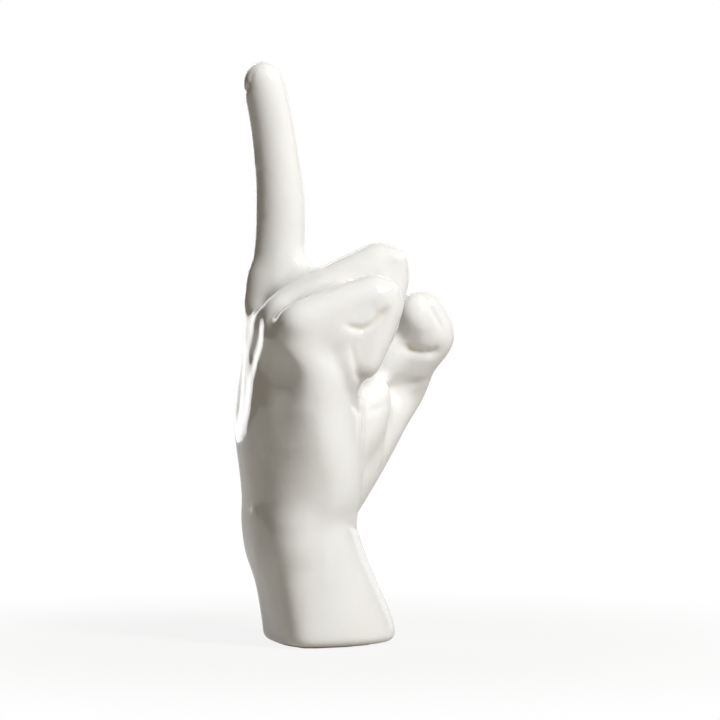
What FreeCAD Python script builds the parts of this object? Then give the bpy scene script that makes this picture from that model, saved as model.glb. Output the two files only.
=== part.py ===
"""Glazed ceramic hand: a right hand standing on its cut wrist, one finger raised and the others folded.

Row frame, millimetres: the origin is the middle of the felt underside, +Z is up, +X is the palm side,
where the folded fingers point, and +Y is the thumb side. The hand is luted from separate castings that
meet face to face: the hollow palm and wrist, the hollow raised finger, three solid folded fingers and
the solid thumb. A slab closes the foot, and a felt sheet lies in the recess under it.
"""

import FreeCAD
import Part
import math
import os

from FreeCAD import Vector

# Palm and wrist, from the foot to the knuckles
PALM_HEIGHT = 140.0
PALM_DEPTH = 48.0
PALM_BREADTH = 78.0
PALM_WALL = 5.0
CROWN_WALL = 9.0
FOOT_ROUNDING = 3.0
FOOT_WALL = 6.5

# Sections of the palm and wrist: height as a share of the way from the foot's rounding to PALM_HEIGHT,
# back and front as shares of PALM_DEPTH, little-finger side and thumb side as shares of PALM_BREADTH,
# place of those two edges in the depth and of the back's ridge in the breadth, corner powers of the
# back on the little-finger and the thumb side and of the front on the same two sides, and how much of
# the knuckle arch the section takes
PALM_SECTION_SHARES = (
    (0.000, -0.560, 0.602, -0.395, 0.395, -0.25, 0.03, 0.60, 0.80, 1.01, 0.90, 0.0),
    (0.051, -0.579, 0.571, -0.395, 0.395, -0.22, 0.03, 0.60, 0.78, 1.11, 0.90, 0.0),
    (0.158, -0.633, 0.442, -0.380, 0.385, -0.22, 0.04, 0.60, 0.72, 1.12, 0.88, 0.0),
    (0.253, -0.724, 0.325, -0.380, 0.378, -0.23, 0.04, 0.70, 0.68, 1.15, 0.85, 0.0),
    (0.348, -0.756, 0.251, -0.385, 0.380, -0.24, 0.05, 0.83, 0.64, 1.16, 0.85, 0.0),
    (0.429, -0.751, 0.279, -0.405, 0.390, -0.17, 0.05, 0.86, 0.62, 1.11, 0.85, 0.0),
    (0.516, -0.769, 0.291, -0.432, 0.405, -0.20, 0.05, 1.02, 0.60, 1.05, 0.82, 0.0),
    (0.634, -0.803, 0.291, -0.462, 0.440, -0.27, 0.05, 1.18, 0.60, 1.06, 0.80, 0.1),
    (0.736, -0.780, 0.285, -0.478, 0.470, -0.30, 0.04, 1.09, 0.62, 1.11, 0.78, 0.3),
    (0.846, -0.752, 0.251, -0.485, 0.485, -0.28, 0.03, 1.01, 0.66, 1.05, 0.76, 0.6),
    (0.934, -0.734, 0.218, -0.480, 0.480, -0.32, 0.02, 0.73, 0.70, 1.10, 0.76, 0.9),
    (0.985, -0.736, 0.162, -0.465, 0.465, -0.35, 0.02, 0.62, 0.76, 1.08, 0.80, 1.0),
    (1.020, -0.709, 0.047, -0.425, 0.425, -0.36, 0.02, 0.66, 0.82, 1.05, 0.85, 1.0),
)
KNUCKLE_DROP = 7.0
HIGHEST_KNUCKLE_SHARE = 0.125
CROWN_SHARE = 1.04
CROWN_BACK_SHARE = -0.50
CROWN_SIDE_SHARE = 0.02

# Flesh of the palm under the folded fingers and in the crotch of the thumb: middle and half sizes as
# shares of PALM_DEPTH, PALM_BREADTH and PALM_HEIGHT, and tilt in degrees
PALM_FLESH_SHARES = (
    (-0.125, -0.333, 0.950, 0.438, 0.147, 0.093, -18.0),
    (-0.021, -0.179, 0.871, 0.250, 0.282, 0.157, 0.0),
    (-0.063, 0.308, 0.914, 0.271, 0.179, 0.143, 0.0),
    (0.167, 0.256, 0.771, 0.333, 0.192, 0.143, 20.0),
)

# Fingers: knuckle places as shares of PALM_DEPTH, PALM_BREADTH and PALM_HEIGHT, length from knuckle
# to tip, bones as shares of that length, bends in degrees at the knuckle and the two joints, the
# turn of the whole finger about an upright line, and shares of its depth and breadth along it
RAISED_LENGTH = 113.4
RAISED_DEPTH = 21.5
RAISED_BREADTH = 20.5
RAISED_FINGER = {
    "knuckle_shares": (-0.445, 0.125, 0.985),
    "length": RAISED_LENGTH,
    "depth": RAISED_DEPTH,
    "breadth": RAISED_BREADTH,
    "bone_shares": (0.459, 0.279, 0.262),
    "bends": (2.4, -9.2, -10.2),
    "turn": 0.0,
    "depth_shares": (1.30, 1.06, 1.00, 0.93, 0.88, 0.86, 0.76),
    "breadth_shares": (1.10, 1.00, 1.02, 0.95, 0.92, 0.92, 0.86),
    "tip_cap_share": 0.35,
}

# The folded fingers share one taper: at the knuckle, mid bone, joint, mid bone, joint, mid bone and tip
FOLDED_DEPTH_SHARES = (1.04, 1.10, 1.05, 0.96, 0.90, 0.86, 0.78)
FOLDED_BREADTH_SHARES = (1.06, 1.02, 1.04, 0.97, 0.94, 0.92, 0.86)
FOLDED_TIP_CAP_SHARE = 0.43

RING_LENGTH = 102.5
RING_DEPTH = 20.5
RING_BREADTH = 20.0
RING_FINGER = {
    "knuckle_shares": (-0.521, -0.135, 0.996),
    "length": RING_LENGTH,
    "depth": RING_DEPTH,
    "breadth": RING_BREADTH,
    "bone_shares": (0.532, 0.263, 0.205),
    "bends": (64.0, 126.0, 18.0),
    "turn": 3.0,
    "depth_shares": FOLDED_DEPTH_SHARES,
    "breadth_shares": FOLDED_BREADTH_SHARES,
    "tip_cap_share": FOLDED_TIP_CAP_SHARE,
}

LITTLE_LENGTH = 78.0
LITTLE_DEPTH = 19.5
LITTLE_BREADTH = 18.0
LITTLE_FINGER = {
    "knuckle_shares": (-0.437, -0.365, 0.971),
    "length": LITTLE_LENGTH,
    "depth": LITTLE_DEPTH,
    "breadth": LITTLE_BREADTH,
    "bone_shares": (0.513, 0.250, 0.237),
    "bends": (71.5, 127.0, 5.0),
    "turn": 3.0,
    "depth_shares": FOLDED_DEPTH_SHARES,
    "breadth_shares": FOLDED_BREADTH_SHARES,
    "tip_cap_share": FOLDED_TIP_CAP_SHARE,
}

INDEX_LENGTH = 100.5
INDEX_DEPTH = 20.0
INDEX_BREADTH = 20.0
INDEX_FINGER = {
    "knuckle_shares": (-0.427, 0.385, 0.979),
    "length": INDEX_LENGTH,
    "depth": INDEX_DEPTH,
    "breadth": INDEX_BREADTH,
    "bone_shares": (0.527, 0.261, 0.212),
    "bends": (65.0, 123.0, 18.0),
    "turn": -6.0,
    "depth_shares": FOLDED_DEPTH_SHARES,
    "breadth_shares": FOLDED_BREADTH_SHARES,
    "tip_cap_share": FOLDED_TIP_CAP_SHARE,
}

# Flesh in the webs and folds of the folded fingers: middle as shares of PALM_DEPTH, PALM_BREADTH and
# PALM_HEIGHT, half sizes as shares of the finger's length, breadth and depth, and tilt in degrees
RING_FLESH_SHARES = (
    (-0.188, -0.026, 1.075, 0.195, 0.550, 0.463, -21.0),
    (0.208, -0.122, 1.050, 0.127, 0.480, 0.732, 0.0),
)
LITTLE_FLESH_SHARES = (
    (-0.104, -0.250, 1.014, 0.244, 0.611, 0.564, -18.0),
    (0.135, -0.353, 0.986, 0.141, 0.489, 0.564, 0.0),
)
INDEX_FLESH_SHARES = (
    (-0.188, 0.269, 1.068, 0.199, 0.550, 0.475, -21.0),
    (0.229, 0.353, 1.043, 0.129, 0.480, 0.750, 0.0),
)

FOLD_REACH_SHARE = 0.34
FOLD_CREASE_SHARE = 0.02
FOLD_KNUCKLE_SHARE = 0.05
FINGER_WALL = 4.5
AIRWAY_RADIUS = 3.0

# Thumb and its ball: places as shares of PALM_DEPTH, PALM_BREADTH and PALM_HEIGHT, then thickness
# and breadth as shares of the thumb's own
THUMB_DEPTH = 24.0
THUMB_BREADTH = 26.0
THUMB_SHARES = (
    (-0.200, 0.170, 0.290, 0.80, 0.95),
    (-0.050, 0.230, 0.370, 1.15, 1.25),
    (0.155, 0.275, 0.475, 1.25, 1.35),
    (0.380, 0.320, 0.590, 1.20, 1.22),
    (0.605, 0.355, 0.695, 1.02, 1.02),
    (0.800, 0.310, 0.785, 0.86, 0.87),
    (0.900, 0.215, 0.866, 0.75, 0.82),
    (1.004, 0.170, 0.946, 0.95, 0.90),
    (0.908, 0.140, 1.014, 0.74, 0.76),
)
THUMB_ROOT_CAP_SHARE = 0.35
THUMB_TIP_CAP_SHARE = 0.40
THUMB_SIGHT = 0.5

# Foot slab and felt
SLAB_THICKNESS = 6.0
VENT_RADIUS = 3.0
FELT_THICKNESS = 1.5
FELT_PROUD = 0.5
FELT_EDGE_GAP = 0.3

# How finely the skins are faceted
AROUND_COUNT = 24
CAVITY_COUNT = 16
PALM_RING_COUNT = 26
CAVITY_RING_COUNT = 13
ARC_STEP = 18.0
CAP_COUNT = 4
RUN_COUNT = 4
FLESH_COUNT = 14
FLESH_RING_COUNT = 7

PALM_SIZES = (PALM_DEPTH, PALM_BREADTH, PALM_HEIGHT)


def blend(rows, place):
    """Row of a table at a fractional place, on a smooth curve through the rows."""
    last = len(rows) - 1
    low = min(int(place), last - 1)
    part = place - low
    before, start, end, after = (rows[min(max(low + step, 0), last)] for step in (-1, 0, 1, 2))
    mixed = []
    for first, second, third, fourth in zip(before, start, end, after):
        slope_in = (third - first) / 2
        slope_out = (fourth - second) / 2
        rise = third - second
        cubic = slope_in + slope_out - 2 * rise
        square = 3 * rise - 2 * slope_in - slope_out
        mixed.append(second + part * (slope_in + part * (square + part * cubic)))
    return mixed


def skin(rings, first_pole=None, last_pole=None):
    """Closed solid of flat facets through rings of points, with a flat or a pointed end."""
    faces = []

    def facet(*points):
        faces.append(Part.Face(Part.makePolygon(list(points) + [points[0]])))

    count = len(rings[0])
    for low, high in zip(rings, rings[1:]):
        for index in range(count):
            after = (index + 1) % count
            facet(low[index], low[after], high[after])
            facet(low[index], high[after], high[index])
    for ring, pole in ((rings[0], first_pole), (rings[-1], last_pole)):
        if pole is None:
            facet(*ring)
            continue
        for index in range(count):
            facet(ring[index], ring[(index + 1) % count], pole)
    shell = Part.makeShell(faces)
    shell.sewShape()
    solid = Part.Solid(shell)
    if solid.Volume < 0:
        solid.reverse()
    return solid


def palm_ring(row, inset, height, count):
    """Ring of the palm and wrist, drawn in by an inset, that falls off to both sides of the hand."""
    middle = row[5] * PALM_DEPTH
    ridge = row[6] * PALM_BREADTH
    back = row[1] * PALM_DEPTH + inset - middle
    front = row[2] * PALM_DEPTH - inset - middle
    little = row[3] * PALM_BREADTH + inset - ridge
    thumb = row[4] * PALM_BREADTH - inset - ridge
    points = []
    for index in range(count):
        angle = 2 * math.pi * index / count
        ahead = math.cos(angle)
        aside = math.sin(angle)
        if ahead > 0:
            power = row[10] if aside > 0 else row[9]
        else:
            power = row[8] if aside > 0 else row[7]
        x = middle + (front if ahead > 0 else back) * abs(ahead) ** power
        y = ridge + (thumb if aside > 0 else little) * abs(aside) ** power
        fall = 2 * (y / PALM_BREADTH - HIGHEST_KNUCKLE_SHARE)
        points.append(Vector(x, y, height - KNUCKLE_DROP * row[11] * fall * fall))
    return points


def palm_place(shares):
    """Point from shares of the palm's depth, breadth and height."""
    return Vector(*(share * size for share, size in zip(shares, PALM_SIZES)))


def section_height(share):
    """Height of a share of the way from the foot's rounding to the knuckles."""
    lowest = FELT_PROUD + FOOT_ROUNDING
    return lowest + share * (PALM_HEIGHT - lowest)


def section_at(height):
    """Row of the palm table at a height."""
    rows = PALM_SECTION_SHARES
    for low, (row, after) in enumerate(zip(rows, rows[1:])):
        bottom = section_height(row[0])
        top = section_height(after[0])
        if height <= top:
            return blend(rows, low + max((height - bottom) / (top - bottom), 0))
    return list(rows[-1])


def palm_outside():
    """Outer skin of the palm and wrist, rounded in at the foot and closed over the knuckles."""
    foot = PALM_SECTION_SHARES[0]
    rings = []
    for step in range(CAP_COUNT):
        angle = math.pi / 2 * step / CAP_COUNT
        inset = FOOT_ROUNDING * (1 - math.sin(angle))
        rise = FOOT_ROUNDING * (1 - math.cos(angle))
        rings.append(palm_ring(foot, inset, FELT_PROUD + rise, AROUND_COUNT))
    last = len(PALM_SECTION_SHARES) - 1
    for step in range(PALM_RING_COUNT):
        row = blend(PALM_SECTION_SHARES, last * step / (PALM_RING_COUNT - 1))
        rings.append(palm_ring(row, 0, section_height(row[0]), AROUND_COUNT))
    pole = Vector(CROWN_BACK_SHARE * PALM_DEPTH, CROWN_SIDE_SHARE * PALM_BREADTH, CROWN_SHARE * PALM_HEIGHT)
    return skin(rings, None, pole)


def slab_top():
    """Height of the slab's upper face."""
    return FELT_THICKNESS + SLAB_THICKNESS


def palm_cavity():
    """Hollow of the palm and wrist above the slab, with its roof under the highest knuckle."""
    top = PALM_HEIGHT - CROWN_WALL
    rings = [palm_ring(PALM_SECTION_SHARES[0], FOOT_WALL, slab_top(), CAVITY_COUNT)]
    for step in range(1, CAVITY_RING_COUNT + 1):
        height = slab_top() + (top - slab_top()) * step / CAVITY_RING_COUNT
        rings.append(palm_ring(section_at(height), PALM_WALL, height, CAVITY_COUNT))
    middle = sum(rings[-1], Vector()) / CAVITY_COUNT
    return skin(rings, None, Vector(middle.x, middle.y, top))


def with_flesh(solid, flesh_shares, sizes):
    """Solid with egg-shaped masses of flesh grown onto it, each tilted about a line across the hand."""
    eggs = []
    for row in flesh_shares:
        middle = palm_place(row[:3])
        ahead, across, up = (share * size for share, size in zip(row[3:6], sizes))
        tilt = math.radians(row[6])
        along = Vector(math.cos(tilt), 0, -math.sin(tilt)) * ahead
        above = Vector(math.sin(tilt), 0, math.cos(tilt)) * up
        side = Vector(0, across, 0)
        rings = []
        for step in range(1, FLESH_RING_COUNT + 1):
            turned = math.pi * step / (FLESH_RING_COUNT + 1)
            level = middle - above * math.cos(turned)
            ring = []
            for index in range(FLESH_COUNT):
                angle = 2 * math.pi * index / FLESH_COUNT
                ring.append(level + (along * math.cos(angle) + side * math.sin(angle)) * math.sin(turned))
            rings.append(ring)
        eggs.append(skin(rings, middle - above, middle + above))
    return solid.fuse(eggs)


def foot_prism(inset, low, high):
    """Upright piece of the foot opening's outline."""
    foot = PALM_SECTION_SHARES[0]
    rings = [palm_ring(foot, FOOT_WALL + inset, height, CAVITY_COUNT) for height in (low, high)]
    return skin(rings)


def bone_frame(turn, heading):
    """Forward and back directions of a bone that leans by some degrees from upright."""
    ahead = Vector(math.cos(math.radians(turn)), math.sin(math.radians(turn)), 0)
    up = Vector(0, 0, 1)
    lean = math.radians(heading)
    return ahead * math.sin(lean) + up * math.cos(lean), up * math.sin(lean) - ahead * math.cos(lean)


def tip_cap(finger):
    """Length of a finger's rounded end."""
    return min(finger["tip_cap_share"] * finger["depth"], finger["bone_shares"][-1] * finger["length"] / 2)


def finger_stations(finger):
    """Places along a finger: middle, heading, place in the size tables, palmar room and swell.

    Each joint is an arc between two straight bones. Palmar flesh stops at the plane that halves a
    fold, so the room for it grows from the joint along both bones.
    """
    bones = [share * finger["length"] for share in finger["bone_shares"]]
    bends = finger["bends"]
    headings = [sum(bends[:index + 1]) for index in range(len(bones))]
    slopes = [math.tan(math.radians(abs(bend)) / 2) for bend in bends[1:]]
    cuts = [min(FOLD_REACH_SHARE * finger["depth"], first / 2, second / 2)
            for first, second in zip(bones, bones[1:])]
    joint = palm_place(finger["knuckle_shares"])
    stations = []
    for index, (bone, heading) in enumerate(zip(bones, headings)):
        forward = bone_frame(finger["turn"], heading)[0]
        start = cuts[index - 1] if index else 0
        finish = cuts[index] if index < len(cuts) else tip_cap(finger)
        for step in range(RUN_COUNT + 1):
            reach = start + (bone - start - finish) * step / RUN_COUNT
            rooms = [bone]
            if index:
                rooms.append(reach / slopes[index - 1])
            if index < len(cuts):
                rooms.append((bone - reach) / slopes[index])
            stations.append((joint + forward * reach, heading, 2 * (index + reach / bone), min(rooms), 0))
        if index == len(cuts):
            break
        joint = joint + forward * bone
        bend = bends[index + 1]
        radius = finish / slopes[index]
        side = math.copysign(1, bend)
        centre = joint - forward * finish - bone_frame(finger["turn"], heading)[1] * (radius * side)
        steps = max(int(math.ceil(abs(bend) / ARC_STEP)), 2)
        for step in range(1, steps):
            part = step / steps
            turned = heading + bend * part
            middle = centre + bone_frame(finger["turn"], turned)[1] * (radius * side)
            before = min(2 * part - 1, 0) * finish / bone
            beyond = max(2 * part - 1, 0) * finish / bones[index + 1]
            swell = math.sin(math.pi * part) * min(abs(bend) / 90, 1)
            stations.append((middle, turned, 2 * (index + 1 + before + beyond), radius, swell))
    return stations


def finger_skin(finger, wall, count):
    """Skin of a finger from its rounded knuckle to its tip, drawn in by a wall."""
    stations = finger_stations(finger)
    depth = finger["depth"]
    sizes = list(zip(finger["depth_shares"], finger["breadth_shares"]))

    def ring(middle, station, scale):
        _, heading, place, room, swell = station
        forward, back = bone_frame(finger["turn"], heading)
        side = back.cross(forward)
        depth_share, breadth_share = blend(sizes, place)
        half_depth = depth_share * depth / 2 - wall
        half_breadth = (breadth_share * finger["breadth"] / 2 - wall) * scale
        outer = (half_depth + FOLD_KNUCKLE_SHARE * depth * swell) * scale
        inner = min(half_depth, room - FOLD_CREASE_SHARE * depth) * scale
        points = []
        for index in range(count):
            angle = 2 * math.pi * index / count
            reach = outer if math.cos(angle) > 0 else inner
            across = side * (half_breadth * math.sin(angle))
            points.append(middle + back * (reach * math.cos(angle)) + across)
        return points

    first = stations[0]
    last = stations[-1]
    root_cap = sizes[0][0] * depth / 2 - wall
    end_cap = tip_cap(finger) - wall
    root_forward = bone_frame(finger["turn"], first[1])[0]
    tip_forward = bone_frame(finger["turn"], last[1])[0]
    rings = []
    for step in range(1, CAP_COUNT):
        part = 1 - step / CAP_COUNT
        rings.append(ring(first[0] - root_forward * (root_cap * part), first, math.sqrt(1 - part * part)))
    for station in stations:
        rings.append(ring(station[0], station, 1))
    for step in range(1, CAP_COUNT):
        angle = math.pi / 2 * step / CAP_COUNT
        rings.append(ring(last[0] + tip_forward * (end_cap * math.sin(angle)), last, math.cos(angle)))
    return skin(rings, first[0] - root_forward * root_cap, last[0] + tip_forward * end_cap)


def thumb_skin():
    """Skin of the thumb with its ball, from the wrist to the tip."""
    sizes = (*PALM_SIZES, THUMB_DEPTH / 2, THUMB_BREADTH / 2)
    rows = [[share * size for share, size in zip(shares, sizes)] for shares in THUMB_SHARES]
    last = len(rows) - 1
    places = [step / 2 for step in range(2 * last + 1)]

    def centre(place):
        return Vector(*blend(rows, place)[:3])

    def ring(place, shift, scale):
        forward = (centre(min(place + THUMB_SIGHT, last)) - centre(max(place - THUMB_SIGHT, 0))).normalize()
        side = Vector(0, 1, 0)
        back = side.cross(forward).normalize()
        side = forward.cross(back)
        half_depth, half_breadth = blend(rows, place)[3:]
        middle = centre(place) + forward * shift
        points = []
        for index in range(AROUND_COUNT):
            turned = 2 * math.pi * index / AROUND_COUNT
            points.append(middle + back * (half_depth * scale * math.cos(turned))
                          + side * (half_breadth * scale * math.sin(turned)))
        return points, middle, forward

    rings = []
    root = THUMB_ROOT_CAP_SHARE * THUMB_DEPTH
    tip = THUMB_TIP_CAP_SHARE * THUMB_DEPTH
    for step in range(1, CAP_COUNT):
        part = 1 - step / CAP_COUNT
        rings.append(ring(0, -root * part, math.sqrt(1 - part * part))[0])
    for place in places:
        rings.append(ring(place, 0, 1)[0])
    for step in range(1, CAP_COUNT):
        angle = math.pi / 2 * step / CAP_COUNT
        rings.append(ring(last, tip * math.sin(angle), math.cos(angle))[0])
    return skin(rings, ring(0, -root, 1)[1], ring(last, tip, 1)[1])


def build():
    """All the pieces by name, each cut back to the faces that it is luted to."""
    outside = with_flesh(palm_outside(), PALM_FLESH_SHARES, PALM_SIZES)
    mouth = foot_prism(0, 0, slab_top())
    raised = finger_skin(RAISED_FINGER, 0, AROUND_COUNT)
    ring, little, index = (
        with_flesh(finger_skin(finger, 0, AROUND_COUNT), flesh_shares,
                   (finger["length"], finger["breadth"], finger["depth"]))
        for finger, flesh_shares in (
            (RING_FINGER, RING_FLESH_SHARES),
            (LITTLE_FINGER, LITTLE_FLESH_SHARES),
            (INDEX_FINGER, INDEX_FLESH_SHARES),
        )
    )
    bore = finger_skin(RAISED_FINGER, FINGER_WALL, CAVITY_COUNT)
    knuckle = palm_place(RAISED_FINGER["knuckle_shares"])
    airway = Part.makeCylinder(AIRWAY_RADIUS, 2 * CROWN_WALL, knuckle - Vector(0, 0, 2 * CROWN_WALL))
    vent = Part.makeCylinder(VENT_RADIUS, slab_top(), Vector(0, 0, 0))
    return {
        "palm_and_wrist": outside.cut([palm_cavity(), mouth, bore, airway]),
        "raised_finger": raised.cut([outside, bore]),
        "ring_finger": ring.cut([outside, raised]),
        "little_finger": little.cut([outside, ring]),
        "index_finger": index.cut([outside, raised]),
        "thumb": thumb_skin().cut([outside, raised, ring, little, index]),
        "foot_slab": foot_prism(0, FELT_THICKNESS, slab_top()).cut(vent),
        "felt_pad": foot_prism(FELT_EDGE_GAP, 0, FELT_THICKNESS),
    }


os.makedirs("parts", exist_ok=True)
for name, shape in build().items():
    shape.exportStep("parts/" + name + ".step")
    print(name, len(shape.Solids), "solid", round(shape.Volume / 1000, 1), "cm3", len(shape.Faces), "faces")
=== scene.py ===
import math

import bmesh
import bpy
from mathutils import Matrix, Vector


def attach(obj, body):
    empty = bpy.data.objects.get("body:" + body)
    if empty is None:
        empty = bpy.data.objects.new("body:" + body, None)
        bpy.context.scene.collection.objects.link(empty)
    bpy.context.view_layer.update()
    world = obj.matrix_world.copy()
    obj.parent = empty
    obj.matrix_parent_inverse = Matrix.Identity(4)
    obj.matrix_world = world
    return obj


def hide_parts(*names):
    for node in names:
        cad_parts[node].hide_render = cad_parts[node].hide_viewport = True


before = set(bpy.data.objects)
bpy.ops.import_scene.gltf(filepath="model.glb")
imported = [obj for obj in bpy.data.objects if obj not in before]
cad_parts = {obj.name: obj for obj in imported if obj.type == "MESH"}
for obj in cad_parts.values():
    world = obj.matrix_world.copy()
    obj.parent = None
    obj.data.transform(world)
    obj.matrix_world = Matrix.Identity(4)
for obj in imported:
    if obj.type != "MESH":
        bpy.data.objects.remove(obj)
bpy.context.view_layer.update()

# The palm and wrist is the main casting, a hollow shell of slip-cast clay that stands on its cut
# wrist. It is blocked out here as a ball drawn out through its sections, from the foot to the
# knuckles, and the fingers and the thumb are luted onto it before the whole hand is glazed.

mm = 0.001


def blended(rows, place):
    """Row of a table at a fractional place, on a smooth curve through the rows."""
    last = len(rows) - 1
    low = min(int(place), last - 1)
    part = place - low
    before, start, end, after = (rows[min(max(low + step, 0), last)] for step in (-1, 0, 1, 2))
    mixed = []
    for first, second, third, fourth in zip(before, start, end, after):
        slope_in = (third - first) / 2
        slope_out = (fourth - second) / 2
        rise = third - second
        cubic = slope_in + slope_out - 2 * rise
        square = 3 * rise - 2 * slope_in - slope_out
        mixed.append(second + part * (slope_in + part * (square + part * cubic)))
    return mixed


def drawn_out(name, rings, first_end, last_end):
    """A ball drawn out through rings of points into a closed limb."""
    bpy.ops.object.select_all(action="DESELECT")
    bpy.ops.mesh.primitive_uv_sphere_add(segments=len(rings[0]), ring_count=len(rings) + 1, radius=1)
    limb = bpy.context.object
    limb.name = name
    turns = len(rings[0])
    for vertex in limb.data.vertices:
        height = min(max(vertex.co.z, -1), 1)
        row = round(math.acos(-height) / math.pi * (len(rings) + 1)) - 1
        if row < 0:
            vertex.co = first_end
        elif row >= len(rings):
            vertex.co = last_end
        else:
            turn = round(math.atan2(vertex.co.y, vertex.co.x) / (2 * math.pi) * turns) % turns
            vertex.co = rings[row][turn]
    return limb


around = 64
foot_steps = 6
section_steps = 4
foot_height = 0.5 * mm
foot_rounding = 3.5 * mm
lowest_section = foot_height + foot_rounding
knuckle_height = 140 * mm
palm_depth = 48 * mm
palm_breadth = 78 * mm
knuckle_drop = 7 * mm
highest_knuckle = 0.125
crown = Vector((-24 * mm, 1.5 * mm, 145 * mm))

# height as a share from foot to knuckles, back and front over the palm's depth, little-finger side
# and thumb side over its breadth, place of the two edges over the depth, place of the ridge over the
# breadth, corner powers at the back and at the front of the little-finger and thumb sides, share of
# the knuckle arch
palm_sections = (
    (0.000, -0.560, 0.602, -0.395, 0.395, -0.25, 0.03, 0.60, 0.80, 1.01, 0.90, 0.0),
    (0.051, -0.579, 0.571, -0.395, 0.395, -0.22, 0.03, 0.60, 0.78, 1.11, 0.90, 0.0),
    (0.158, -0.633, 0.442, -0.380, 0.385, -0.22, 0.04, 0.60, 0.72, 1.12, 0.88, 0.0),
    (0.253, -0.724, 0.325, -0.380, 0.378, -0.23, 0.04, 0.70, 0.68, 1.15, 0.85, 0.0),
    (0.348, -0.756, 0.251, -0.385, 0.380, -0.24, 0.05, 0.83, 0.64, 1.16, 0.85, 0.0),
    (0.429, -0.751, 0.279, -0.405, 0.390, -0.17, 0.05, 0.86, 0.62, 1.11, 0.85, 0.0),
    (0.516, -0.769, 0.291, -0.432, 0.405, -0.20, 0.05, 1.02, 0.60, 1.05, 0.82, 0.0),
    (0.634, -0.803, 0.291, -0.462, 0.440, -0.27, 0.05, 1.18, 0.60, 1.06, 0.80, 0.1),
    (0.736, -0.780, 0.285, -0.478, 0.470, -0.30, 0.04, 1.09, 0.62, 1.11, 0.78, 0.3),
    (0.846, -0.752, 0.251, -0.485, 0.485, -0.28, 0.03, 1.01, 0.66, 1.05, 0.76, 0.6),
    (0.934, -0.734, 0.218, -0.480, 0.480, -0.32, 0.02, 0.73, 0.70, 1.10, 0.76, 0.9),
    (0.985, -0.736, 0.162, -0.465, 0.465, -0.35, 0.02, 0.62, 0.76, 1.08, 0.80, 1.0),
    (1.020, -0.709, 0.047, -0.425, 0.425, -0.36, 0.02, 0.66, 0.82, 1.05, 0.85, 1.0),
)


def palm_ring(row, inset, height):
    """Ring of the palm at a height, that falls off to both sides of the highest knuckle."""
    middle = row[5] * palm_depth
    ridge = row[6] * palm_breadth
    back = row[1] * palm_depth + inset - middle
    front = row[2] * palm_depth - inset - middle
    little = row[3] * palm_breadth + inset - ridge
    thumb = row[4] * palm_breadth - inset - ridge
    points = []
    for step in range(around):
        angle = 2 * math.pi * step / around
        ahead = math.cos(angle)
        aside = math.sin(angle)
        if ahead > 0:
            power = row[10] if aside > 0 else row[9]
        else:
            power = row[8] if aside > 0 else row[7]
        x = middle + (front if ahead > 0 else back) * abs(ahead) ** power
        y = ridge + (thumb if aside > 0 else little) * abs(aside) ** power
        fall = 2 * (y / palm_breadth - highest_knuckle)
        points.append(Vector((x, y, height - knuckle_drop * row[11] * fall * fall)))
    return points


rings = []
for step in range(foot_steps):
    angle = math.pi / 2 * step / foot_steps
    inset = foot_rounding * (1 - math.sin(angle))
    rings.append(palm_ring(palm_sections[0], inset, foot_height + foot_rounding * (1 - math.cos(angle))))
for step in range(section_steps * (len(palm_sections) - 1) + 1):
    row = blended(palm_sections, step / section_steps)
    rings.append(palm_ring(row, 0, lowest_section + row[0] * (knuckle_height - lowest_section)))
palm = drawn_out("palm", rings, Vector((0, 0, foot_height)), crown)

# The fingers are cast in their own moulds and luted onto the knuckles: one stands up, and the ring,
# little and index fingers are folded over with their tips on the palm. Each is a ball drawn out
# along its three bones, with a crease inside every fold and a knuckle outside it.

around_finger = 32
run_steps = 6
arc_step = 9
cap_steps = 6
fold_reach = 0.34
crease_share = 0.01
knuckle_share = 0.05


def bone_frame(turn, heading):
    """Forward and back directions of a bone that leans by some degrees from upright."""
    ahead = Vector((math.cos(math.radians(turn)), math.sin(math.radians(turn)), 0))
    up = Vector((0, 0, 1))
    lean = math.radians(heading)
    return ahead * math.sin(lean) + up * math.cos(lean), up * math.sin(lean) - ahead * math.cos(lean)


def finger_stations(knuckle, bones, bends, turn, depth, tip):
    """Middle, heading, place in the size table, palmar room and swell, along the bones."""
    headings = [sum(bends[:index + 1]) for index in range(3)]
    slopes = [math.tan(math.radians(abs(bend)) / 2) for bend in bends[1:]]
    cuts = [min(fold_reach * depth, first / 2, second / 2) for first, second in zip(bones, bones[1:])]
    joint = knuckle.copy()
    stations = []
    for index, (bone, heading) in enumerate(zip(bones, headings)):
        forward = bone_frame(turn, heading)[0]
        start = cuts[index - 1] if index else 0
        finish = cuts[index] if index < 2 else tip
        for step in range(run_steps + 1):
            reach = start + (bone - start - finish) * step / run_steps
            rooms = [bone]
            if index:
                rooms.append(reach / slopes[index - 1])
            if index < 2:
                rooms.append((bone - reach) / slopes[index])
            place = 2 * (index + reach / bone)
            stations.append((joint + forward * reach, heading, place, min(rooms), 0))
        if index == 2:
            break
        joint = joint + forward * bone
        bend = bends[index + 1]
        radius = finish / slopes[index]
        side = math.copysign(1, bend)
        centre = joint - forward * finish - bone_frame(turn, heading)[1] * (radius * side)
        steps = max(int(math.ceil(abs(bend) / arc_step)), 2)
        for step in range(1, steps):
            part = step / steps
            turned = heading + bend * part
            middle = centre + bone_frame(turn, turned)[1] * (radius * side)
            before = min(2 * part - 1, 0) * finish / bone
            beyond = max(2 * part - 1, 0) * finish / bones[index + 1]
            swell = math.sin(math.pi * part) * min(abs(bend) / 90, 1)
            stations.append((middle, turned, 2 * (index + 1 + before + beyond), radius, swell))
    return stations


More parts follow.
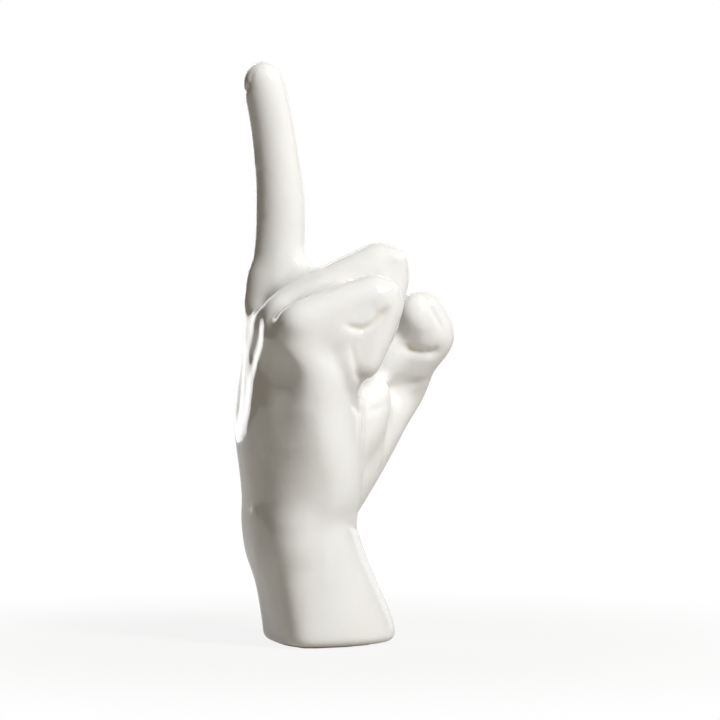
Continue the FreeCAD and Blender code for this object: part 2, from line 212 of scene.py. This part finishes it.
def finger(name, knuckle, bones, bends, turn, depth, breadth, depth_shares, breadth_shares, tip):
    """A finger from its rounded knuckle to its tip."""
    stations = finger_stations(knuckle, bones, bends, turn, depth, tip)
    sizes = list(zip(depth_shares, breadth_shares))

    def ring_at(middle, station, scale):
        _, heading, place, room, swell = station
        forward, back = bone_frame(turn, heading)
        side = back.cross(forward)
        depth_share, breadth_share = blended(sizes, place)
        half = depth_share * depth / 2
        across = breadth_share * breadth / 2 * scale
        outer = (half + knuckle_share * depth * swell) * scale
        inner = min(half, room - crease_share * depth) * scale
        points = []
        for step in range(around_finger):
            angle = 2 * math.pi * step / around_finger
            reach = outer if math.cos(angle) > 0 else inner
            points.append(middle + back * (reach * math.cos(angle)) + side * (across * math.sin(angle)))
        return points

    first, last = stations[0], stations[-1]
    root = sizes[0][0] * depth / 2
    root_forward = bone_frame(turn, first[1])[0]
    tip_forward = bone_frame(turn, last[1])[0]
    rings = []
    for step in range(1, cap_steps):
        part = 1 - step / cap_steps
        rings.append(ring_at(first[0] - root_forward * (root * part), first, math.sqrt(1 - part * part)))
    rings += [ring_at(station[0], station, 1) for station in stations]
    for step in range(1, cap_steps):
        angle = math.pi / 2 * step / cap_steps
        rings.append(ring_at(last[0] + tip_forward * (tip * math.sin(angle)), last, math.cos(angle)))
    return drawn_out(name, rings, first[0] - root_forward * root, last[0] + tip_forward * tip)


folded_depths = (1.04, 1.10, 1.05, 0.96, 0.90, 0.86, 0.78)
folded_breadths = (1.06, 1.02, 1.04, 0.97, 0.94, 0.92, 0.86)
raised = finger(
    "raised", Vector((-21.4, 9.8, 137.8)) * mm, [52 * mm, 31.6 * mm, 29.4 * mm], (2.4, -9.2, -5.2), turn=0,
    depth=21.5 * mm, breadth=20.5 * mm, depth_shares=(1.30, 1.06, 1.00, 0.94, 0.89, 0.87, 0.79),
    breadth_shares=(1.10, 1.00, 1.02, 0.95, 0.92, 0.92, 0.86), tip=10.2 * mm,
)
ring = finger(
    "ring", Vector((-25, -10.5, 139.5)) * mm, [54.5 * mm, 27 * mm, 21 * mm], (64, 126, 18), turn=3,
    depth=20.5 * mm, breadth=20 * mm, depth_shares=folded_depths, breadth_shares=folded_breadths,
    tip=8.8 * mm,
)
little = finger(
    "little", Vector((-21, -28.5, 136)) * mm, [40 * mm, 19.5 * mm, 18.5 * mm], (71.5, 127, 5), turn=3,
    depth=19.5 * mm, breadth=18 * mm, depth_shares=folded_depths, breadth_shares=folded_breadths,
    tip=8.4 * mm,
)
index = finger(
    "index", Vector((-20.5, 30, 137)) * mm, [53 * mm, 26.2 * mm, 21.3 * mm], (65, 123, 18), turn=-6,
    depth=20 * mm, breadth=20 * mm, depth_shares=folded_depths, breadth_shares=folded_breadths,
    tip=8.6 * mm,
)

# Pellets of clay fill the hand out where the castings meet, in the webs and folds of the fingers and at
# the root of the thumb. Others round out the knuckles and the pad of the thumb.


def pellet(name, centre, radii, tilt):
    """An egg of clay, tipped about the axis across the hand."""
    bpy.ops.object.select_all(action="DESELECT")
    bpy.ops.mesh.primitive_uv_sphere_add(segments=32, ring_count=20, radius=1)
    egg = bpy.context.object
    egg.name = name
    turned = Matrix.Rotation(math.radians(tilt), 3, "Y")
    for vertex in egg.data.vertices:
        long, wide, tall = vertex.co
        drawn = Vector((long * radii[0], wide * radii[1], tall * radii[2]))
        vertex.co = turned @ drawn * mm + Vector(centre) * mm
    return egg


# name, middle and half sizes in mm, tilt in degrees
pellets = (
    pellet("ring_web", (-9, -2, 150.5), (20, 11, 9.5), -21),
    pellet("index_web", (-9, 21, 149.5), (20, 11, 9.5), -21),
    pellet("little_web", (-5, -19.5, 142), (19, 11, 11), -18),
    pellet("little_flesh", (-6, -26, 133), (21, 11.5, 13), -18),
    pellet("palm_flesh", (-1, -14, 122), (12, 22, 22), 0),
    pellet("index_flesh", (-3, 24, 128), (13, 14, 20), 0),
    pellet("little_fold", (6.5, -27.5, 138), (11, 8.8, 11), 0),
    pellet("ring_fold", (10, -9.5, 147), (13, 9.6, 15), 0),
    pellet("index_fold", (11, 27.5, 146), (13, 9.6, 15), 0),
    pellet("ring_bend", (18.5, -9.5, 156), (8, 9.8, 8), 0),
    pellet("little_bend", (12, -27.5, 144.5), (7, 8.8, 7), 0),
    pellet("index_bend", (18.5, 26, 154), (8, 9.8, 8), 0),
    pellet("middle_knuckle", (-26.6, 9, 132), (9.4, 10.5, 16), 0),
    pellet("ring_root", (-25, -13, 135.5), (8.8, 10, 14), 0),
    pellet("little_root", (-18.5, -28, 130.5), (9, 8.8, 14), 0),
    pellet("index_root", (-22, 29, 131), (9, 8.5, 14), 0),
    pellet("raised_web", (-13.5, 6, 158.5), (7, 8, 9.5), 0),
    pellet("ring_knuckle", (25.2, -10.3, 164.2), (7, 8.6, 6), 0),
    pellet("little_knuckle", (18.3, -28, 150.3), (5.5, 7.4, 5.5), 0),
    pellet("thenar_flank", (13, 6, 90), (12, 14, 27), 27),
    pellet("thumb_crotch", (8, 20, 108), (16, 15, 20), 20),
    pellet("thumb_pad", (41, 10, 139.4), (8.8, 10, 11.6), 0),
    pellet("thumb_rest", (31, 17, 124), (9.5, 10.5, 18), 28),
)

# The thumb is cast solid with its ball. It rises from the heel of the palm, leans out in front of
# the folded fingers and ends upright.

thumb_depth = 24 * mm
thumb_breadth = 26 * mm
thumb_steps = 6

# middle of the thumb as shares of the palm's depth, its breadth and the height of the knuckles, then
# the thumb's depth and breadth as shares of the full ones above
thumb_rows = (
    (-0.200, 0.170, 0.290, 0.80, 0.95),
    (-0.050, 0.200, 0.370, 1.10, 1.43),
    (0.155, 0.228, 0.475, 1.15, 1.62),
    (0.380, 0.262, 0.590, 1.14, 1.54),
    (0.605, 0.318, 0.695, 1.06, 1.22),
    (0.800, 0.310, 0.785, 0.96, 0.88),
    (0.900, 0.215, 0.866, 0.80, 0.82),
    (1.004, 0.170, 0.946, 0.95, 0.90),
    (0.925, 0.140, 1.014, 0.82, 0.76),
)
thumb_root = 8.4 * mm
thumb_tip = 9.6 * mm


def thumb_ring(rows, place, shift, scale):
    """Ring of the thumb at a place along it."""
    last = len(rows) - 1
    ahead = Vector(blended(rows, min(place + 0.5, last))[:3])
    behind = Vector(blended(rows, max(place - 0.5, 0))[:3])
    forward = (ahead - behind).normalized()
    back = Vector((0, 1, 0)).cross(forward).normalized()
    side = forward.cross(back)
    x, y, z, half_depth, half_breadth = blended(rows, place)
    middle = Vector((x, y, z)) + forward * shift
    points = []
    for step in range(around_finger):
        angle = 2 * math.pi * step / around_finger
        points.append(middle + back * (half_depth * scale * math.cos(angle))
                      + side * (half_breadth * scale * math.sin(angle)))
    return points, middle


thumb_sizes = (palm_depth, palm_breadth, knuckle_height, thumb_depth / 2, thumb_breadth / 2)
thumb_rows = [[share * size for share, size in zip(row, thumb_sizes)] for row in thumb_rows]
thumb_last = len(thumb_rows) - 1
rings = []
for step in range(1, cap_steps):
    part = 1 - step / cap_steps
    rings.append(thumb_ring(thumb_rows, 0, -thumb_root * part, math.sqrt(1 - part * part))[0])
for step in range(thumb_steps * thumb_last + 1):
    rings.append(thumb_ring(thumb_rows, step / thumb_steps, 0, 1)[0])
for step in range(1, cap_steps):
    angle = math.pi / 2 * step / cap_steps
    rings.append(thumb_ring(thumb_rows, thumb_last, thumb_tip * math.sin(angle), math.cos(angle))[0])
thumb = drawn_out("thumb", rings, thumb_ring(thumb_rows, 0, -thumb_root, 1)[1],
                  thumb_ring(thumb_rows, thumb_last, thumb_tip, 1)[1])

# Luting: the castings are joined with slip and the seams are sponged away, so the hand has one skin.

skin_grain = 0.9 * mm
seam_strength = 1.5

bpy.ops.object.select_all(action="DESELECT")
for limb in (palm, raised, ring, little, index, thumb) + pellets:
    limb.select_set(True)
bpy.context.view_layer.objects.active = palm
bpy.ops.object.join()
hand = bpy.context.object
hand.name = "glazed_hand"
hand.data.name = "glazed_hand"
bpy.ops.object.mode_set(mode="EDIT")
bpy.ops.mesh.select_all(action="SELECT")
bpy.ops.mesh.normals_make_consistent(inside=False)
bpy.ops.object.mode_set(mode="OBJECT")
hand.data.remesh_voxel_size = skin_grain
hand.data.remesh_voxel_adaptivity = 0
bpy.ops.object.voxel_remesh()


def sponge(turns, group=""):
    """Smooth the skin of the hand, all over or in one group of its points."""
    sponged = hand.modifiers.new("sponged", "SMOOTH")
    sponged.factor = 0.5
    sponged.iterations = turns
    sponged.vertex_group = group
    bpy.ops.object.modifier_apply(modifier=sponged.name)


sponge(turns=10)

# where the seams are sponged longest: x, y, z and reach in mm
seams = (
    (-20, -10, 146, 17),
    (-18, 0, 150, 15),
    (-18, 20, 148, 17),
    (-14, -28, 136, 22),
    (0, -26, 132, 18),
    (-26, 30, 134, 16),
    (-30, -14, 142, 14),
    (-22, -28, 138, 18),
    (-30, 6, 138, 16),
    (-26, -18, 136, 16),
    (36, 11, 119, 13),
    (27, 9, 107, 14),
    (19, 2, 96, 22),
    (14, -6, 90, 20),
    (22, 4, 84, 18),
    (12, 2, 74, 16),
    (36, 10, 131, 12),
    (30, 4, 98, 16),
    (-12, 2, 163, 12),
    (25, -10, 163, 13),
    (18, -28, 150, 9),
    (-4, -16, 118, 20),
    (2, 0, 112, 24),
    (10, 22, 96, 26),
    (4, 22, 70, 26),
)
wiped = hand.vertex_groups.new(name="wiped")
for vertex in hand.data.vertices:
    share = 0
    for x, y, z, reach in seams:
        apart = (vertex.co / mm - Vector((x, y, z))).length / reach
        share = max(share, 1 - apart * apart)
    if share > 0:
        wiped.add([vertex.index], min(seam_strength * share, 1), "REPLACE")
sponge(turns=100, group=wiped.name)
hand.vertex_groups.clear()

# Modelling tools: a stroke presses the clay in, or draws it out where its depth is negative, along a
# line of places on the skin. Places are given in mm: across and up as the camera sees them, or along
# the breadth and up as seen from straight behind the hand or from straight in front of the palm.

from mathutils.bvhtree import BVHTree
from mathutils.kdtree import KDTree

camera_azimuth = math.radians(-15)
camera_distance = 1.2
camera_height = 121.3 * mm
aim_aside = 12.9 * mm
away = Vector((math.sin(camera_azimuth), -math.cos(camera_azimuth), 0))
across = Vector((math.cos(camera_azimuth), math.sin(camera_azimuth), 0))
up = Vector((0, 0, 1))
camera_place = away * camera_distance + across * aim_aside + up * camera_height
ray_start = 0.2
line_spacing = 0.4


class Clay:
    """The skin while it is modelled."""

    def __init__(self, piece):
        self.piece = piece
        self.shape = bmesh.new()
        self.shape.from_mesh(piece.data)
        self.shape.verts.ensure_lookup_table()
        self.skin = BVHTree.FromBMesh(self.shape)
        self.reach = KDTree(len(self.shape.verts))
        for vertex in self.shape.verts:
            self.reach.insert(vertex.co, vertex.index)
        self.reach.balance()
        self.normals = [vertex.normal.copy() for vertex in self.shape.verts]
        self.moves = {}

    def front(self, places):
        """Places on the skin as the camera sees them."""
        found = []
        for aside, height in places:
            target = across * aside * mm + up * height * mm
            hit = self.skin.ray_cast(camera_place, (target - camera_place).normalized())[0]
            if hit is not None:
                found.append(hit)
        return found

    def back(self, places):
        """Places on the skin as seen from straight behind the hand."""
        found = []
        for aside, height in places:
            hit = self.skin.ray_cast(Vector((-ray_start, aside * mm, height * mm)), Vector((1, 0, 0)))[0]
            if hit is not None:
                found.append(hit)
        return found

    def palm(self, places):
        """Places on the skin as seen from straight in front of the palm."""
        found = []
        for aside, height in places:
            hit = self.skin.ray_cast(Vector((ray_start, aside * mm, height * mm)), Vector((-1, 0, 0)))[0]
            if hit is not None:
                found.append(hit)
        return found

    def stroke(self, places, width, depth, sharp=False, fade=0):
        """Press the skin in along a line, that may fade out towards both ends."""
        line = []
        for start, end in zip(places, places[1:]):
            steps = max(int((end - start).length / (line_spacing * mm)), 1)
            line += [start.lerp(end, step / steps) for step in range(steps)]
        line.append(places[-1])
        nearest = {}
        for number, place in enumerate(line):
            from_end = min(number, len(line) - 1 - number) + 1
            strength = min(from_end * line_spacing / fade, 1) if fade else 1
            for _, vertex, distance in self.reach.find_range(place, width * mm):
                if distance < nearest.get(vertex, (1, 0))[0]:
                    nearest[vertex] = (distance, strength)
        for vertex, (distance, strength) in nearest.items():
            part = 1 - distance / (width * mm)
            share = part * part if sharp else part * part * (3 - 2 * part)
            move = self.normals[vertex] * (-depth * mm * share * strength)
            self.moves[vertex] = self.moves.get(vertex, Vector()) + move

    def finish(self):
        """Put the strokes into the mesh."""
        for number, move in self.moves.items():
            self.shape.verts[number].co += move
        self.shape.to_mesh(self.piece.data)
        self.shape.free()
        self.piece.data.update()


# Forms under the skin: the bones in the back of the hand and the valleys between them, the middle
# knuckle, the end of the ulna above the cut wrist, and a shallow hollow in the side of the palm.

clay = Clay(hand)

# seen from, places of the line, width, depth and length of its fading ends
form_lines = (
    (clay.front, ((-20.2, 136), (-19.8, 126), (-19.8, 112), (-20, 98), (-20, 84)), 12, 1.9, 24),
    (
        clay.front, ((-27, 149), (-29.6, 145), (-31, 138), (-31.4, 131), (-33.5, 123), (-35.2, 114)),
        8, 1.1, 8,
    ),
    (clay.back, ((2, 126), (3, 112), (4, 98), (5, 84)), 12, 1.0, 16),
    (clay.back, ((21, 142), (20, 128), (18, 112), (16, 96), (14, 84)), 11, 1.6, 16),
    (clay.back, ((31, 140), (29, 122), (25, 104), (21, 84)), 9, -0.8, 16),
    (clay.back, ((10, 166), (10, 158), (10, 148), (10, 138)), 12, -1.8, 8),
    (clay.front, ((-17, 47), (-16, 42)), 15, -1.6, 0),
    (clay.front, ((-12, 112), (-9, 98), (-9, 84)), 12, 0.6, 10),
)
for seen, places, width, depth, fade in form_lines:
    clay.stroke(seen(places), width, depth, fade=fade)
clay.finish()
sponge(turns=12)

# Lines in the skin, of a real hand that the mould was taken from: the crease in the folded little
# finger and the one where it meets the palm, the line under the pad of the thumb and the thumbnail,
# the lines across the joints of the raised finger and its fingernail, and the lines of the palm.

clay = Clay(hand)

# seen from, places of the line, width, depth, whether it is sharp, length of its fading ends
fine_lines = (
    (
        clay.front, ((5.6, 137.2), (9, 135.5), (13.8, 134.2), (18, 136.3), (23.7, 141.9), (26, 145)),
        3.4, 1.5, True, 5,
    ),
    (clay.front, ((9.5, 129), (10.3, 122), (11.5, 115), (14, 112)), 3.0, 0.8, True, 5),
    (
        clay.front, ((31.8, 127.7), (35.3, 125.6), (38.7, 124.7), (43.9, 124.3), (47.3, 126.4)),
        4.5, 1.8, True, 3,
    ),
    (clay.front, ((38.7, 149.6), (43, 144.5), (46, 139.3), (48.4, 134.2)), 3.0, 1.1, True, 3),
    (clay.front, ((46.5, 145.5), (50.2, 139.5)), 6.5, 0.4, False, 0),
    (clay.front, ((-32.4, 202), (-30, 202.8), (-27.6, 202.4)), 2.6, 0.25, True, 2),
    (clay.front, ((-31.6, 181.6), (-29.4, 182.2), (-27.2, 181.8)), 2.6, 0.22, True, 2),
    (clay.back, ((4.8, 239.4), (7, 237.4), (9.8, 236.8), (12.6, 237.4), (14.8, 239.4)), 2.6, 0.9, True, 2),
    (clay.back, ((4.4, 245), (4.4, 240)), 2.2, 0.45, True, 2),
    (clay.back, ((15.2, 245), (15.2, 240)), 2.2, 0.45, True, 2),
    (clay.palm, ((15, 116), (7, 106), (3, 94), (4, 80), (9, 68)), 4.5, 1.0, True, 8),
    (clay.palm, ((-30, 104), (-18, 99), (-6, 100), (2, 104)), 4, 0.8, True, 6),
    (clay.palm, ((-23, 52), (-8, 49), (8, 50), (22, 54)), 3.6, 0.7, True, 8),
)
for seen, places, width, depth, sharp, fade in fine_lines:
    clay.stroke(seen(places), width, depth, sharp=sharp, fade=fade)
clay.finish()
sponge(turns=3)

bpy.ops.object.select_all(action="DESELECT")
hand.select_set(True)
bpy.context.view_layer.objects.active = hand
bpy.ops.object.shade_smooth()

# How hollow the skin is at each place is kept with the mesh, spread out a little, as a share of painted
# shade: the glaze colour is painted darker and warmer in the creases.

shade_spread_turns = 10
crease_shade_start = 0.012
crease_shade_range = 0.06
shape = bmesh.new()
shape.from_mesh(hand.data)
shape.verts.ensure_lookup_table()
hollow = []
for vertex in shape.verts:
    ring_middle = Vector()
    for edge in vertex.link_edges:
        ring_middle += edge.other_vert(vertex).co
    ring_middle /= len(vertex.link_edges)
    hollow.append((ring_middle - vertex.co).dot(vertex.normal) / mm)
for turn in range(shade_spread_turns):
    spread = []
    for vertex in shape.verts:
        near = [hollow[edge.other_vert(vertex).index] for edge in vertex.link_edges]
        spread.append(0.5 * hollow[vertex.index] + 0.5 * sum(near) / len(near))
    hollow = spread
shape.free()
# painted shade in the creases, as a share from 0 to 1 of how hollow the skin is
painted_crease_shade = hand.data.attributes.new("painted_crease_shade", "FLOAT", "POINT")
painted_crease_shade.data.foreach_set("value", [min(max((value - crease_shade_start) / crease_shade_range, 0), 1) for value in hollow])

# Clay and glaze both carry a faint mottle of two sizes, from the slip and from the kiln.

mottle = bpy.data.node_groups.new("kiln_mottle", "ShaderNodeTree")
for socket in ("Broad Scale", "Fine Scale"):
    mottle.interface.new_socket(socket, in_out="INPUT", socket_type="NodeSocketFloat")
for socket in ("Broad", "Fine"):
    mottle.interface.new_socket(socket, in_out="OUTPUT", socket_type="NodeSocketFloat")
nodes, links = mottle.nodes, mottle.links
given = nodes.new("NodeGroupInput")
result = nodes.new("NodeGroupOutput")
place = nodes.new("ShaderNodeTexCoord")
for socket, detail in (("Broad", 3), ("Fine", 5)):
    cloud = nodes.new("ShaderNodeTexNoise")
    cloud.inputs["Detail"].default_value = detail
    cloud.inputs["Roughness"].default_value = 0.55
    links.new(place.outputs["Object"], cloud.inputs["Vector"])
    links.new(given.outputs[socket + " Scale"], cloud.inputs["Scale"])
    links.new(cloud.outputs["Fac"], result.inputs[socket])


def mottled(material, broad_scale, fine_scale):
    """The mottle placed in a material at two scales."""
    group = material.node_tree.nodes.new("ShaderNodeGroup")
    group.node_tree = mottle
    group.inputs["Broad Scale"].default_value = broad_scale
    group.inputs["Fine Scale"].default_value = fine_scale
    return group


def tinted(material, factor, low, high, first, second):
    """Two colours mixed by a value that runs from low to high."""
    nodes, links = material.node_tree.nodes, material.node_tree.links
    spread = nodes.new("ShaderNodeMapRange")
    spread.inputs["From Min"].default_value = low
    spread.inputs["From Max"].default_value = high
    links.new(factor, spread.inputs["Value"])
    mix = nodes.new("ShaderNodeMix")
    mix.data_type = "RGBA"
    links.new(spread.outputs[0], mix.inputs["Factor"])
    for socket, colour in ((mix.inputs["A"], first), (mix.inputs["B"], second)):
        if isinstance(colour, tuple):
            socket.default_value = (*colour, 1)
        else:
            links.new(colour, socket)
    return mix.outputs["Result"]


def graded(material, factor, low, high, first, second):
    """A value that runs from first to second while the factor runs from low to high."""
    spread = material.node_tree.nodes.new("ShaderNodeMapRange")
    for socket, value in zip(("From Min", "From Max", "To Min", "To Max"), (low, high, first, second)):
        spread.inputs[socket].default_value = value
    material.node_tree.links.new(factor, spread.inputs["Value"])
    return spread.outputs[0]


def embossed(material, height, depth):
    """Bump of a depth in metres from a height between 0 and 1."""
    bump = material.node_tree.nodes.new("ShaderNodeBump")
    bump.inputs["Distance"].default_value = depth
    material.node_tree.links.new(height, bump.inputs["Height"])
    return bump.outputs["Normal"]


# The glaze is off-white and glossy. Its colour is painted darker and warmer in the creases, as painted
# shade, and it was wiped off the foot before firing, where the bare clay shows as a narrow ring.

bare_edge = (1.3 * mm, 1.7 * mm)
glaze = bpy.data.materials.new("off_white_glaze")
glaze.use_nodes = True
nodes, links = glaze.node_tree.nodes, glaze.node_tree.links
shader = nodes["Principled BSDF"]
shader.inputs["IOR"].default_value = 1.52
clouds = mottled(glaze, 28, 140)
white = tinted(glaze, clouds.outputs["Broad"], 0.35, 0.65, (0.83, 0.831, 0.82), (0.80, 0.797, 0.774))
# painted shade: the glaze colour turns darker and warmer where the skin is hollow, in the creases
crease_shade_node = nodes.new("ShaderNodeAttribute")
crease_shade_node.attribute_name = "painted_crease_shade"
white = tinted(glaze, crease_shade_node.outputs["Fac"], 0, 1, white, (0.78, 0.73, 0.60))
place = nodes.new("ShaderNodeTexCoord")
height = nodes.new("ShaderNodeSeparateXYZ")
links.new(place.outputs["Object"], height.inputs[0])
white = tinted(glaze, height.outputs["Z"], *bare_edge, (0.66, 0.60, 0.51), white)
links.new(white, shader.inputs["Base Color"])
gloss = graded(glaze, clouds.outputs["Fine"], 0.35, 0.65, 0.05, 0.11)
dry = graded(glaze, height.outputs["Z"], *bare_edge, 0.8, 0)
rougher = nodes.new("ShaderNodeMath")
rougher.operation = "MAXIMUM"
links.new(gloss, rougher.inputs[0])
links.new(dry, rougher.inputs[1])
links.new(rougher.outputs[0], shader.inputs["Roughness"])
links.new(embossed(glaze, clouds.outputs["Broad"], 0.5 * mm), shader.inputs["Normal"])
hand.data.materials.clear()
hand.data.materials.append(glaze)
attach(hand, "root")
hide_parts("palm_and_wrist", "raised_finger", "ring_finger", "little_finger", "index_finger", "thumb")

# The foot slab is bare clay, fired without glaze. It closes the hollow casting inside its cut wrist,
# with a vent in the middle that lets the air out in the kiln.

bisque = bpy.data.materials.new("bare_bisque")
bisque.use_nodes = True
shader = bisque.node_tree.nodes["Principled BSDF"]
clouds = mottled(bisque, 60, 900)
clay_colour = tinted(bisque, clouds.outputs["Broad"], 0.3, 0.7, (0.69, 0.63, 0.54), (0.60, 0.53, 0.44))
bisque.node_tree.links.new(clay_colour, shader.inputs["Base Color"])
dullness = graded(bisque, clouds.outputs["Fine"], 0.3, 0.7, 0.75, 0.92)
bisque.node_tree.links.new(dullness, shader.inputs["Roughness"])
bisque.node_tree.links.new(embossed(bisque, clouds.outputs["Fine"], 0.25 * mm), shader.inputs["Normal"])

# The felt pad is pressed wool, cut to the foot opening and glued under the slab, so that the ceramic
# doesn't scratch the table.

felt = bpy.data.materials.new("grey_felt")
felt.use_nodes = True
shader = felt.node_tree.nodes["Principled BSDF"]
shader.inputs["Sheen Weight"].default_value = 0.4
shader.inputs["Sheen Roughness"].default_value = 0.6
clouds = mottled(felt, 160, 2600)
wool = tinted(felt, clouds.outputs["Fine"], 0.35, 0.65, (0.075, 0.077, 0.074), (0.16, 0.162, 0.155))
felt.node_tree.links.new(wool, shader.inputs["Base Color"])
dullness = graded(felt, clouds.outputs["Broad"], 0.3, 0.7, 0.86, 0.98)
felt.node_tree.links.new(dullness, shader.inputs["Roughness"])
felt.node_tree.links.new(embossed(felt, clouds.outputs["Fine"], 0.3 * mm), shader.inputs["Normal"])

for name, finish in (("foot_slab", bisque), ("felt_pad", felt)):
    piece = bpy.data.objects[name]
    piece.data.materials.clear()
    piece.data.materials.append(finish)

# The floor is a plain white sheet that runs out into the white surround. It keeps the soft shadow
# under the hand.

floor_size = 12
mirrored_white = 0.5
bpy.ops.object.select_all(action="DESELECT")
bpy.ops.mesh.primitive_plane_add(size=floor_size, location=(0, 0, 0))
floor = bpy.context.object
floor.name = "floor"
paper = bpy.data.materials.new("white_floor")
paper.use_nodes = True
nodes, links = paper.node_tree.nodes, paper.node_tree.links
sheet = nodes["Principled BSDF"]
sheet.inputs["Base Color"].default_value = (0.47, 0.445, 0.41, 1)
sheet.inputs["Roughness"].default_value = 0.9
sheet.inputs["Specular IOR Level"].default_value = 0
place = nodes.new("ShaderNodeTexCoord")
distance = nodes.new("ShaderNodeVectorMath")
distance.operation = "LENGTH"
run_out = nodes.new("ShaderNodeMapRange")
run_out.interpolation_type = "SMOOTHSTEP"
for socket, value in (("From Min", 0.08), ("From Max", 0.3), ("To Min", 0.88), ("To Max", 1)):
    run_out.inputs[socket].default_value = value
rays = nodes.new("ShaderNodeLightPath")
seen = nodes.new("ShaderNodeMath")
seen.operation = "MAXIMUM"
paler = nodes.new("ShaderNodeMath")
paler.operation = "MULTIPLY"
paler.inputs[1].default_value = mirrored_white
mirrored = nodes.new("ShaderNodeMath")
mirrored.operation = "MAXIMUM"
share = nodes.new("ShaderNodeMath")
share.operation = "MULTIPLY"
white = nodes.new("ShaderNodeEmission")
white.inputs["Color"].default_value = (1, 1, 1, 1)
white.inputs["Strength"].default_value = 1
mix = nodes.new("ShaderNodeMixShader")
links.new(place.outputs["Object"], distance.inputs[0])
links.new(distance.outputs["Value"], run_out.inputs["Value"])
links.new(rays.outputs["Is Camera Ray"], seen.inputs[0])
links.new(rays.outputs["Is Transmission Ray"], seen.inputs[1])
links.new(seen.outputs[0], mirrored.inputs[0])
links.new(rays.outputs["Is Glossy Ray"], paler.inputs[0])
links.new(paler.outputs[0], mirrored.inputs[1])
links.new(mirrored.outputs[0], share.inputs[0])
links.new(run_out.outputs[0], share.inputs[1])
links.new(share.outputs[0], mix.inputs[0])
links.new(sheet.outputs[0], mix.inputs[1])
links.new(white.outputs[0], mix.inputs[2])
links.new(mix.outputs[0], nodes["Material Output"].inputs["Surface"])
floor.data.materials.append(paper)

# Studio light: a soft box to the right of the camera and above it, one far behind the hand that glints
# along its back, and a dim warm room. The white backdrop stands behind the hand, where the glaze
# mirrors it along its edges.

world = bpy.data.worlds.new("studio")
bpy.context.scene.world = world
world.use_nodes = True
nodes, links = world.node_tree.nodes, world.node_tree.links
nodes.clear()
output = nodes.new("ShaderNodeOutputWorld")
white = nodes.new("ShaderNodeBackground")
white.inputs["Color"].default_value = (1, 1, 1, 1)
room = nodes.new("ShaderNodeBackground")
room.inputs["Color"].default_value = (0.10, 0.085, 0.06, 1)
room.inputs["Strength"].default_value = 1
rays = nodes.new("ShaderNodeLightPath")
place = nodes.new("ShaderNodeTexCoord")
facing = nodes.new("ShaderNodeVectorMath")
facing.operation = "DOT_PRODUCT"
facing.inputs[1].default_value = -away
backdrop = nodes.new("ShaderNodeMapRange")
backdrop.inputs["From Min"].default_value = 0.70
backdrop.inputs["From Max"].default_value = 0.80
mirrored = nodes.new("ShaderNodeMath")
mirrored.operation = "MULTIPLY"
seen = nodes.new("ShaderNodeMath")
seen.operation = "MAXIMUM"
either = nodes.new("ShaderNodeMath")
either.operation = "MAXIMUM"
mix = nodes.new("ShaderNodeMixShader")
links.new(place.outputs["Generated"], facing.inputs[0])
links.new(facing.outputs["Value"], backdrop.inputs["Value"])
links.new(backdrop.outputs[0], mirrored.inputs[0])
links.new(rays.outputs["Is Glossy Ray"], mirrored.inputs[1])
links.new(rays.outputs["Is Camera Ray"], seen.inputs[0])
links.new(rays.outputs["Is Transmission Ray"], seen.inputs[1])
links.new(seen.outputs[0], either.inputs[0])
links.new(mirrored.outputs[0], either.inputs[1])
links.new(either.outputs[0], mix.inputs[0])
links.new(room.outputs[0], mix.inputs[1])
links.new(white.outputs[0], mix.inputs[2])
links.new(mix.outputs[0], output.inputs["Surface"])

hand_middle = Vector((0, 0, 0.13))


def soft_box(name, azimuth, elevation, distance, width, height, power):
    """A white soft box aimed at the middle of the hand."""
    side = math.radians(azimuth)
    rise = math.radians(elevation)
    toward = Vector((math.sin(side) * math.cos(rise), -math.cos(side) * math.cos(rise), math.sin(rise)))
    light = bpy.data.lights.new(name, "AREA")
    light.shape = "RECTANGLE"
    light.size = width
    light.size_y = height
    light.energy = power
    lamp = bpy.data.objects.new(name, light)
    bpy.context.collection.objects.link(lamp)
    lamp.location = hand_middle + toward * distance
    lamp.rotation_euler = toward.to_track_quat("Z", "Y").to_euler()


soft_box("key", azimuth=31, elevation=42, distance=1.6, width=0.3, height=0.7, power=29.5)
soft_box("far_fill", azimuth=195, elevation=20, distance=2.5, width=1.3, height=2.4, power=17)

# The camera is level with the middle of the palm. It looks at the side of the little finger, and a
# little from the back of the hand.

frame_width = 309.6 * mm
lens = bpy.data.cameras.new("camera")
camera = bpy.data.objects.new("camera", lens)
bpy.context.collection.objects.link(camera)
camera.location = camera_place
camera.rotation_euler = away.to_track_quat("Z", "Y").to_euler()
lens.sensor_width = 36
lens.lens = lens.sensor_width * camera_distance / frame_width
bpy.context.scene.camera = camera
bpy.context.scene.view_settings.view_transform = "Standard"
